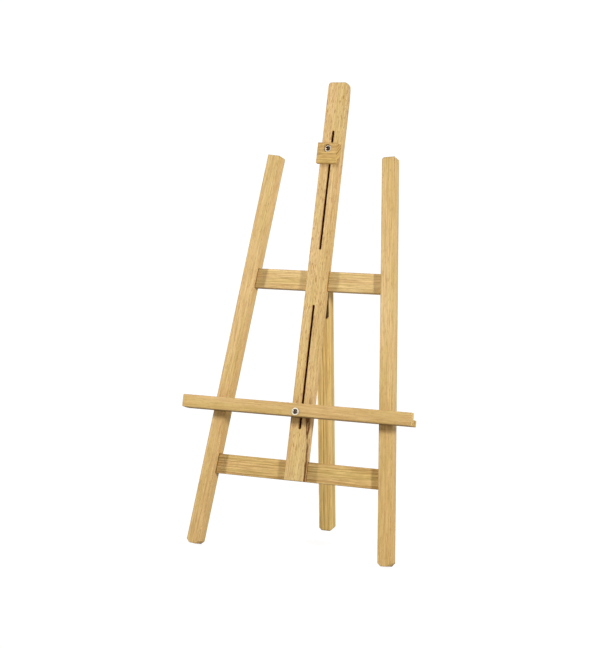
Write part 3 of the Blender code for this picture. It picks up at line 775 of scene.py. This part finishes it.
# ------------------------------------------------------------ wooden pieces
def front_leg(name, side, left_round, right_round):
    """A splayed leg: local x to the right, y to the back, z up its length."""
    along = (UP * math.cos(SPLAY) - RIGHT * (side * math.sin(SPLAY))).normalized()
    across = BACK.cross(along).normalized()
    half = LEG_WIDTH / 2
    mesh = block(
        (-half, 0, LEG_BOTTOM), (half, LEG_DEPTH, LEG_TOP),
        [
            ((on("z", LEG_BOTTOM), level_in_x), 6.0, 1),
            ((on("z", LEG_TOP), on("x", -half)), left_round, 5),
            ((on("z", LEG_TOP), on("x", half)), right_round, 5),
            ((above(LEG_TOP - 6), on("y", LEG_DEPTH)), 7.0, 6),
        ],
        name,
    )
    matrix = axes(across, BACK, along, at(side * HALF_SPREAD, 0, 0))
    leg = add_wood(name, mesh, matrix, edge=1.1)
    bake(leg)
    finish(leg, "frame")


def crossbar(name, up, screws, leaf_screws=()):
    """A bar between the legs, housed at its back round nothing but the mast."""
    inner = HALF_SPREAD - up * math.tan(SPLAY) - LEG_WIDTH / 2 / math.cos(SPLAY)
    half, length = BAR_HEIGHT / 2, inner + 0.2
    mesh = block((-half, 0, -length), (half, BAR_THICK, length), (), name)
    for vert in mesh.vertices:
        # shoulders cut to the legs' splay; local +x is down, where the bar is longer
        vert.co.z += math.copysign(1, vert.co.z) * vert.co.x * math.tan(SPLAY)
    bar = add_wood(name, mesh, lying(up, -BAR_SETBACK), edge=0.8)
    mast_half = MAST_WIDTH / 2 + HOUSING_FIT
    housing = block(
        (-BAR_HEIGHT, -5, -mast_half),
        (BAR_HEIGHT, MAST_THICK - BAR_SETBACK + HOUSING_FIT, mast_half),
    )
    tools = [cutter(housing, bar.matrix_world)]
    for x, screw_up in screws:
        tools.append(cutter(countersink(), facing_back(x, screw_up, BAR_REAR)))
    for x, down, _ in leaf_screws:
        tools.append(cutter(countersink(2.4), facing_back(x, PIN_UP - down, BAR_REAR)))
    carve(bar, tools)
    finish(bar, "frame")


def mast():
    """The upright with its two slots: local y to the back, z up."""
    half, length = MAST_WIDTH / 2, MAST_TOP - MAST_BOTTOM
    mesh = block(
        (-half, 0, 0), (half, MAST_THICK, length),
        [
            ((on("z", length), on("x", -half)), 6.0, 5),
            ((on("z", length), on("x", half)), 7.5, 5),
            ((above(length - 12), on("y", MAST_THICK)), 5.0, 6),
        ],
        "mast",
    )
    matrix = axes(RIGHT, BACK, UP, at(0, MAST_BOTTOM, 0))
    obj = add_wood("mast", mesh, matrix, edge=1.0, extra=[MAT["slot"]])
    carve(obj, [
        cutter(slot_tool(low - MAST_BOTTOM, high - MAST_BOTTOM), obj.matrix_world, MAT["slot"])
        for low, high in MAST_SLOTS
    ])
    finish(obj, "frame")


def rear_leg():
    """The hinged leg: local y to the back, z up its length, from the pin."""
    lean = math.acos(max(-1, min(1, REAR_LEG_UP.z)))
    # long enough that its front lower edge meets the ground
    bottom = -(PIN.z / MM + REAR_FRONT * math.sin(lean)) / math.cos(lean)
    mesh = block(
        (REAR_LEFT, REAR_FRONT, bottom), (REAR_RIGHT, REAR_BACK, REAR_TOP),
        [
            ((on("z", bottom), on("x", REAR_LEFT)), 5.0, 1),
            ((on("z", bottom), on("x", REAR_RIGHT)), 3.0, 1),
            ((on("z", REAR_TOP), on("y", REAR_BACK)), 10.0, 6),
        ],
        "rear_leg",
    )
    matrix = axes(RIGHT, REAR_LEG_BACK, REAR_LEG_UP, PIN)
    leg = add_wood("rear_leg", mesh, matrix, edge=1.0)
    carve(leg, [
        cutter(countersink(2.4), on_rear_leg(x, down, REAR_FRONT)) for x, down in STRAP_SCREWS
    ])
    finish(leg, "rear_leg")


def clamp_block():
    """The clamp, stepped at its lower back; local x is down from the bolt."""
    matrix = lying(CLAMP_UP)
    mesh = block((CLAMP_UP - CLAMP_TOP, -CLAMP_FRONT, -CLAMP_HALF_WIDTH),
                 (CLAMP_UP - CLAMP_BOTTOM, -GAP, CLAMP_HALF_WIDTH), (), "clamp")
    clamp = add_wood("clamp_block", mesh, matrix, edge=0.9)
    step = block((CLAMP_UP - 745.5, -12.3, -40.0), (CLAMP_UP - CLAMP_BOTTOM + 10, 6.0, 40.0))
    for vert in step.vertices:
        # the step's shoulder slopes up to the back
        if vert.co.y > 0 and vert.co.x < (CLAMP_UP - 740) * MM:
            vert.co.x = (CLAMP_UP - 753.0) * MM
    bore = lathe([
        (0, 30.0), (7.4, 30.0), (7.4, BORE_FLOOR), (6.9, BORE_FLOOR - 0.3), (0, BORE_FLOOR - 0.3),
    ], 56)
    carve(clamp, [
        cutter(step, matrix),
        bolt_hole(CLAMP_UP),
        cutter(bore, facing_front(CLAMP_UP, 0), MAT["clamp_block"]),
    ])
    finish(clamp, "clamp_block")


def tray_ledge():
    """The shelf; local x is down from the tray's bolt."""
    mesh = block((TRAY_UP - LEDGE_TOP, -LEDGE_FRONT, TRAY_LEFT),
                 (TRAY_UP - LEDGE_BOTTOM, -GAP, TRAY_RIGHT), (), "ledge")
    ledge = add_wood("tray_ledge", mesh, lying(TRAY_UP), edge=0.9)
    tools = [bolt_hole(TRAY_UP)]
    for x in TRAY_SCREWS:
        tools.append(cutter(countersink(), facing_back(x, TRAY_SCREW_UP, GAP)))
    carve(ledge, tools)
    finish(ledge, "tray")


def tray_lip():
    """The strip along the ledge's front, its lower left edge rounded."""
    lower = TRAY_UP - LEDGE_BOTTOM
    mesh = block((TRAY_UP - LIP_TOP, -LIP_FRONT, TRAY_LEFT), (lower, -LIP_BACK, TRAY_RIGHT),
                 [((on("z", TRAY_LEFT), on("x", lower)), 3.0, 4)], "lip")
    lip = add_wood("tray_lip", mesh, lying(TRAY_UP), edge=1.1)
    carve(lip, [bolt_hole(TRAY_UP)])
    finish(lip, "tray")


front_leg("left_leg", side=-1, left_round=1.0, right_round=1.0)
front_leg("right_leg", side=1, left_round=5.0, right_round=1.2)
crossbar("upper_crossbar", UPPER_BAR_UP, MAST_SCREWS[:2], CROSS_LEAF_SCREWS)
crossbar("lower_crossbar", LOWER_BAR_UP, MAST_SCREWS[2:])
mast()
rear_leg()
clamp_block()
tray_ledge()
tray_lip()


# --------------------------------------------------------------- fasteners
def cross_recess(matrix, turn, depth, arm, half_width):
    """Cutters for a cross recess, whose arms narrow to half as they go down."""
    tools = []
    for quarter in (0, math.pi / 2):
        mesh = block((-arm, -half_width, -depth), (arm, half_width, 1.5))
        for vert in mesh.vertices:
            if vert.co.z < 0:
                vert.co.x *= 0.5
        tools.append(cutter(mesh, matrix @ Matrix.Rotation(turn + quarter, 4, "Z")))
    return tools


def thread(start, name):
    """A helical ridge wound round the shank, down from start."""
    root, ridge = 1.66, 0.40
    pitch, steps = 0.8, 20
    turns = int(25.6 / pitch)
    bm = bmesh.new()
    last = None
    for i in range(turns * steps + 1):
        a = 2 * math.pi * i / steps
        z = -start - pitch * i / steps
        fade = min(1.0, i / steps, (turns * steps - i) / steps + 0.25)
        crest = root + ridge * fade
        row = [
            bm.verts.new((r * MM * math.cos(a), r * MM * math.sin(a), (z + dz) * MM))
            for r, dz in ((root, 0.36), (crest, 0.06), (crest, -0.06), (root, -0.36))
        ]
        if last:
            for k in range(3):
                bm.faces.new((last[k], last[k + 1], row[k + 1], row[k]))
        last = row
    return mesh_from(bm, name)


def machine_bolt(node, up, head_out):
    """A domed bolt; local z is out of the front, from under its head."""
    matrix = facing_front(up, head_out)
    length = head_out - BOLT_TAIL
    head_height = 2.50
    plain_end = -(length - 26.0)
    # (radius, height): the dome, its rim, its underside and the plain shank
    profile = [
        (0.0, head_height), (1.4, 2.42), (2.6, 2.14), (3.5, 1.72), (4.15, 1.22), (4.52, 0.76),
        (4.60, 0.50), (4.60, 0.12), (4.50, 0.0), (2.30, 0.0), (2.08, -0.3),
        (2.08, plain_end), (1.8, plain_end - 0.4), (0, plain_end - 0.4),
    ]
    obj = add_metal(node, lathe(profile, 56, node), matrix, "bolt")
    top = matrix @ Matrix.Translation((0, 0, head_height * MM))
    carve(obj, cross_recess(top, BOLT_TURN, depth=2.1, arm=3.1, half_width=0.72))
    start = length - 26.2
    core = lathe([
        (0.0, -start), (1.69, -start), (1.69, -length + 0.5), (1.3, -length), (0, -length),
    ], 32)
    join(obj, [core, thread(start, node + "_thread")], node + "_metal", MAT["bolt"])
    finish(obj, node, angle=40)


def washer(node, body, up, out, radius, metal_key):
    top = WASHER_THICK
    mesh = lathe([
        (radius - 0.15, top), (radius, top - 0.18), (radius, 0.25), (radius - 0.28, 0.0),
        (2.60, 0.0), (2.42, 0.2), (2.42, top - 0.2), (2.60, top), (radius - 0.15, top),
    ], 64, node)
    obj = add_metal(node, mesh, facing_front(up, out), metal_key)
    finish(obj, body, angle=40)


# (radius, height) round the turned hub, and (distance from the axis, height) round a wing
NUT_HUB = [
    (2.4, 5.9), (3.5, 6.0), (4.1, 5.7), (4.5, 4.6), (5.0, 1.2), (5.3, 0.5), (5.3, 0.0),
    (2.4, 0.0), (2.4, 5.9),
]
NUT_WING = [
    (3.4, 0.6), (6.2, 1.0), (8.6, 2.0), (10.8, 3.9), (12.0, 5.8), (12.25, 7.6), (11.7, 8.9),
    (10.5, 9.35), (9.2, 8.9), (8.0, 7.4), (6.8, 5.9), (5.4, 5.2), (3.4, 5.2),
]


def wing_nut(node, up, turn):
    """A cast wing nut: hub and wings made one skin, then relaxed."""
    matrix = facing_back(0, up, NUT_OUT) @ Matrix.Rotation(turn, 4, "Z")
    obj = add_metal(node, lathe(NUT_HUB, 40, node), matrix, "zinc")
    upright = Matrix.Rotation(math.pi / 2, 4, "X")
    carve(obj, [
        cutter(outline(NUT_WING, 2.1, "wing"), matrix @ Matrix.Rotation(side, 4, "Z") @ upright)
        for side in (0.0, math.pi)
    ], "UNION")
    remesh = obj.modifiers.new("cast", "REMESH")
    remesh.mode = "VOXEL"
    remesh.voxel_size = 0.00032
    relax = obj.modifiers.new("relax", "SMOOTH")
    relax.factor = 0.5
    relax.iterations = 5
    bake(obj)
    # the remesh may leave no material slot
    if not obj.data.materials:
        obj.data.materials.append(MAT["zinc"])
    obj.data.shade_smooth()
    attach(obj, node)


def wood_screw(node, body, matrix, length, metal_key, turn):
    """A countersunk screw: local z points out of the wood, its head flush."""
    profile = [
        (0.0, 0.0), (2.9, 0.0), (3.18, -0.12), (3.18, -0.3), (1.8, -1.85), (1.7, -3.0),
        (1.5, 3.6 - length), (0.0, -length),
    ]
    obj = add_metal(node, lathe(profile, 40, node), matrix, metal_key)
    carve(obj, cross_recess(matrix, turn, depth=1.3, arm=1.75, half_width=0.36))
    finish(obj, body, angle=40)


# the joint, its bolt's height, where the front washer seats, that washer's radius and
# metal, and the wing nut's turn in degrees
for joint, up, seat, radius, metal_key, nut_turn in (
    ("clamp", CLAMP_UP, BORE_FLOOR, 6.2, "bright", 65),
    ("tray", TRAY_UP, LIP_FRONT, 7.0, "yellow", 25),
):
    bolt = joint + "_bolt"
    washer(joint + "_front_washer", bolt, up, seat + 0.2, radius, metal_key)
    machine_bolt(bolt, up, head_out=seat + 1.4)
    washer(joint + "_back_washer", bolt, up, -MAST_THICK - GAP - WASHER_THICK, 7.0, "zinc")
    wing_nut(joint + "_wing_nut", up, math.radians(nut_turn))

for i, (x, up) in enumerate(MAST_SCREWS, 1):
    wood_screw(f"mast_screw_{i}", "frame", facing_back(x, up, BAR_REAR),
               length=20.0, metal_key="zinc", turn=0.3 + i)
for i, (x, down, length) in enumerate(CROSS_LEAF_SCREWS, 1):
    wood_screw(f"hinge_cross_screw_{i}", "frame",
               facing_back(x, PIN_UP - down, PIN_OUT + LEAF_SCREW_LIFT),
               length=length, metal_key="black", turn=0.9 * i)
for i, (x, down) in enumerate(STRAP_SCREWS, 1):
    wood_screw(f"hinge_strap_screw_{i}", "rear_leg", on_rear_leg(x, down, LEAF_SCREW_LIFT),
               length=16.0, metal_key="black", turn=0.7 * i)
for i, x in enumerate(TRAY_SCREWS, 1):
    wood_screw(f"tray_screw_{i}", "tray", facing_back(x, TRAY_SCREW_UP, GAP),
               length=26.0, metal_key="zinc", turn=0.5 * i)


# ------------------------------------------------------------------- hinge
def knuckle(x_start, x_end):
    """A knuckle rolled about local x. Its curl starts level with the leaf's
    far face and goes round the pin."""
    inner, outer, eased = 1.42, 2.68, 0.22
    first, last, steps = -90, 178, 30       # degrees
    bm = bmesh.new()

    def vert(x, radius, angle):
        y, z = radius * math.cos(angle), PIN_OFFSET + radius * math.sin(angle)
        return bm.verts.new((x * MM, y * MM, z * MM))

    rows = []
    for x in (x_start, x_start + 0.25, x_end - 0.25, x_end):
        r_out = outer - (eased if x in (x_start, x_end) else 0.0)
        angles = [math.radians(first + (last - first) * i / steps) for i in range(steps + 1)]
        rows.append([(vert(x, r_out, a), vert(x, inner, a)) for a in angles])
    for a, b in zip(rows, rows[1:]):
        for i in range(steps):
            bm.faces.new((a[i][0], a[i + 1][0], b[i + 1][0], b[i][0]))
            bm.faces.new((a[i][1], b[i][1], b[i + 1][1], a[i + 1][1]))
        for i in (0, steps):
            bm.faces.new((a[i][0], b[i][0], b[i][1], a[i][1]))
    for row in (rows[0], rows[-1]):
        for i in range(steps):
            bm.faces.new((row[i][0], row[i][1], row[i + 1][1], row[i + 1][0]))
    return mesh_from(bm, "knuckle")


def hinge_leaf(node, body, points, holes, matrix, knuckles):
    """A leaf with countersunk holes, and its rolled knuckles."""
    name = node + "_metal"
    matrix = matrix @ Matrix.Translation((0, 0, -PIN_OFFSET * MM))
    obj = add_metal(node, outline(points, LEAF_THICK, name), matrix, "black")
    ease(obj, 0.25, segments=2)
    face = LEAF_THICK / 2
    tools = []
    for x, y in holes:
        cone = lathe([
            (0, 3.0), (3.4, 3.0), (3.35, face - 0.2), (1.95, face - 1.75), (1.95, -4.0),
            (0, -4.0),
        ], 36)
        tools.append(cutter(cone, matrix @ Matrix.Translation((x * MM, y * MM, 0))))
    carve(obj, tools)
    join(obj, [knuckle(*ends) for ends in knuckles], name, MAT["black"])
    finish(obj, body)


# (x to the right, y down the frame) from the pin
CROSS_LEAF = [
    (-32.0, 5.0), (-30.0, 3.0), (-12.2, 3.0), (-12.2, 0.0), (-5.3, 0.0), (-5.3, 3.0),
    (5.3, 3.0), (5.3, 0.0), (12.2, 0.0), (12.2, 3.0), (30.0, 3.0), (32.0, 5.0),
    (32.0, 16.0), (30.0, 18.0), (-30.0, 18.0), (-32.0, 16.0),
]
# (x to the right, y up the rear leg) from the pin
STRAP_LEAF = [
    (-5.0, 0.0), (-5.0, -3.0), (-12.2, -3.0), (-12.2, -66.0), (-8.5, -70.0), (8.5, -70.0),
    (12.2, -66.0), (12.2, -3.0), (5.0, -3.0), (5.0, 0.0),
]
# (radius, height) of the headed pin
HINGE_PIN = [
    (0, 13.4), (1.3, 13.35), (1.9, 13.1), (2.1, 12.8), (2.1, 12.5), (1.3, 12.45),
    (1.3, -12.45), (2.1, -12.5), (2.1, -12.8), (1.9, -13.1), (1.3, -13.35), (0, -13.4),
]

hinge_leaf("hinge_cross_leaf", "frame", CROSS_LEAF,
           holes=[(x, down) for x, down, _ in CROSS_LEAF_SCREWS],
           matrix=axes(RIGHT, -UP, BACK, PIN),
           knuckles=((-12.1, -5.35), (5.35, 12.1)))
hinge_leaf("hinge_strap_leaf", "rear_leg", STRAP_LEAF,
           holes=[(x, -down) for x, down in STRAP_SCREWS],
           matrix=axes(RIGHT, REAR_LEG_UP, -REAR_LEG_BACK, PIN),
           knuckles=((-4.9, 4.9),))
hinge_pin = add_metal("hinge_pin", lathe(HINGE_PIN, 40), axes(UP, BACK, RIGHT, PIN), "black")
finish(hinge_pin, "frame", angle=40)


# ------------------------------------------------------------------- floor
def floor_paper():
    """Grey to the light that bounces off it, nearly white to the camera."""
    g = Graph("floor_paper")
    place = g.node("ShaderNodeTexCoord").outputs["Object"]
    soft = g.noise(place, scale=3.0, detail=3.0)
    to_camera = g.node("ShaderNodeLightPath").outputs["Is Camera Ray"]
    paper = g.mix(g.ramp(soft, 0.3, 0.7), (0.93, 0.93, 0.93, 1), (0.95, 0.95, 0.95, 1))
    g.shade(
        Base_Color=g.mix(to_camera, (0.42, 0.41, 0.40, 1), paper),
        Roughness=0.9,
        Specular_IOR_Level=0.05,
        Emission_Color=(1, 1, 1, 1),
        Emission_Strength=g.times(to_camera, 0.16),
    )
    # the paper burns out to plain white away from the object
    glow = g.node("ShaderNodeEmission")
    glow.inputs["Strength"].default_value = 1.05
    away = g.ramp(g.vec("LENGTH", place), 0.20, 0.70, to=(0.82, 1.0))
    blend = g.node("ShaderNodeMixShader")
    g.put(blend.inputs[0], g.times(away, to_camera))
    g.put(blend.inputs[1], g.shader.outputs[0])
    g.put(blend.inputs[2], glow.outputs[0])
    g.put(g.tree.nodes["Material Output"].inputs["Surface"], blend.outputs[0])
    return g.material


floor = bpy.data.objects.new("floor", block((-12000, -12000, -40), (12000, 12000, 0), (), "floor"))
COLLECTION.objects.link(floor)
floor.data.materials.append(floor_paper())


# ------------------------------------------------------------------- world
def studio_world():
    """White to the camera, a soft fill to the wood, a dim room to polished metal."""
    world = bpy.data.worlds.new("studio")
    bpy.context.scene.world = world
    world.use_nodes = True
    tree = world.node_tree
    tree.nodes.clear()

    def background(colour, strength):
        node = tree.nodes.new("ShaderNodeBackground")
        node.inputs[0].default_value = colour
        node.inputs[1].default_value = strength
        return node.outputs[0]

    def choose(ray, otherwise, when):
        node = tree.nodes.new("ShaderNodeMixShader")
        for socket, source in zip(node.inputs, (path.outputs[ray], otherwise, when)):
            tree.links.new(source, socket)
        return node.outputs[0]

    out = tree.nodes.new("ShaderNodeOutputWorld")
    seen = background((1, 1, 1, 1), strength=1.05)
    fill = background((1.0, 0.99, 0.97, 1), strength=0.42)
    room = background((1.0, 0.97, 0.93, 1), strength=0.11)
    path = tree.nodes.new("ShaderNodeLightPath")
    unseen = choose("Is Glossy Ray", otherwise=fill, when=room)
    tree.links.new(choose("Is Camera Ray", otherwise=unseen, when=seen), out.inputs[0])


studio_world()

# ------------------------------------------------------------------ lights
LIGHT_TARGET = Vector((0, 0, 0.42))


def softbox(name, azimuth, elevation, distance, size, power):
    """An area light; azimuth is measured from the front, positive to the right."""
    a, e = math.radians(azimuth), math.radians(elevation)
    direction = Vector((math.sin(a) * math.cos(e), -math.cos(a) * math.cos(e), math.sin(e)))
    offset = direction * distance
    data = bpy.data.lights.new(name, "AREA")
    data.shape = "RECTANGLE"
    data.size, data.size_y = size
    data.energy = power
    lamp = bpy.data.objects.new(name, data)
    COLLECTION.objects.link(lamp)
    lamp.location = LIGHT_TARGET + offset
    lamp.rotation_euler = (-offset).to_track_quat("-Z", "Y").to_euler()
    return lamp


def linked(names, state, group_name):
    """A collection that a light's links read, with these objects in or out."""
    group = bpy.data.collections.new(group_name)
    for name in names:
        group.objects.link(bpy.data.objects[name])
    for entry in group.collection_objects:
        entry.light_linking.link_state = state
    return group


not_rear = linked(["rear_leg_wood"], "EXCLUDE", "all_but_rear_leg")
only_rear = linked(["rear_leg_wood"], "INCLUDE", "rear_leg_only")
no_legs = linked(["left_leg_wood", "right_leg_wood"], "EXCLUDE", "front_legs_cast_none")
for side, azimuth, elevation, power in (("left", -68, 15, 78), ("right", 64, 17, 66)):
    key = softbox(side + "_softbox", azimuth, elevation,
                  distance=3.2, size=(0.30, 0.50), power=power)
    key.light_linking.receiver_collection = not_rear
    # the rear leg's own light passes the front legs, so it gets no shadow of them
    key = softbox(side + "_rear_softbox", azimuth, elevation,
                  distance=3.2, size=(0.30, 0.50), power=power * 0.90)
    key.light_linking.receiver_collection = only_rear
    key.light_linking.blocker_collection = no_legs
softbox("back_fill", azimuth=180, elevation=38, distance=3.5, size=(2.5, 1.6), power=55)
# a small card, mostly for polished things to mirror: it gives no diffuse light
glint = softbox("glint_card", azimuth=-24, elevation=23, distance=3.2, size=(0.50, 0.50),
                power=10)
glint.visible_diffuse = False

# ------------------------------------------------------------------ camera
CAMERA_PLACE = Vector((1054.36, -2475.03, 829.31))      # mm from the frame's origin
CAMERA_FORWARD = Vector((-0.37879, 0.91377, -0.14676)).normalized()

camera_data = bpy.data.cameras.new("camera")
camera_data.sensor_fit = "VERTICAL"
camera_data.sensor_height = 36.0
camera_data.lens = 84.35
camera_data.clip_start = 0.05
camera_data.clip_end = 60
camera = bpy.data.objects.new("camera", camera_data)
COLLECTION.objects.link(camera)
camera_right = CAMERA_FORWARD.cross(Vector((0, 0, 1))).normalized()
camera_up = camera_right.cross(CAMERA_FORWARD)
camera.matrix_world = axes(camera_right, camera_up, -CAMERA_FORWARD, ORIGIN + CAMERA_PLACE * MM)

scene = bpy.context.scene
scene.camera = camera
scene.view_settings.view_transform = "Standard"
scene.view_settings.look = "None"
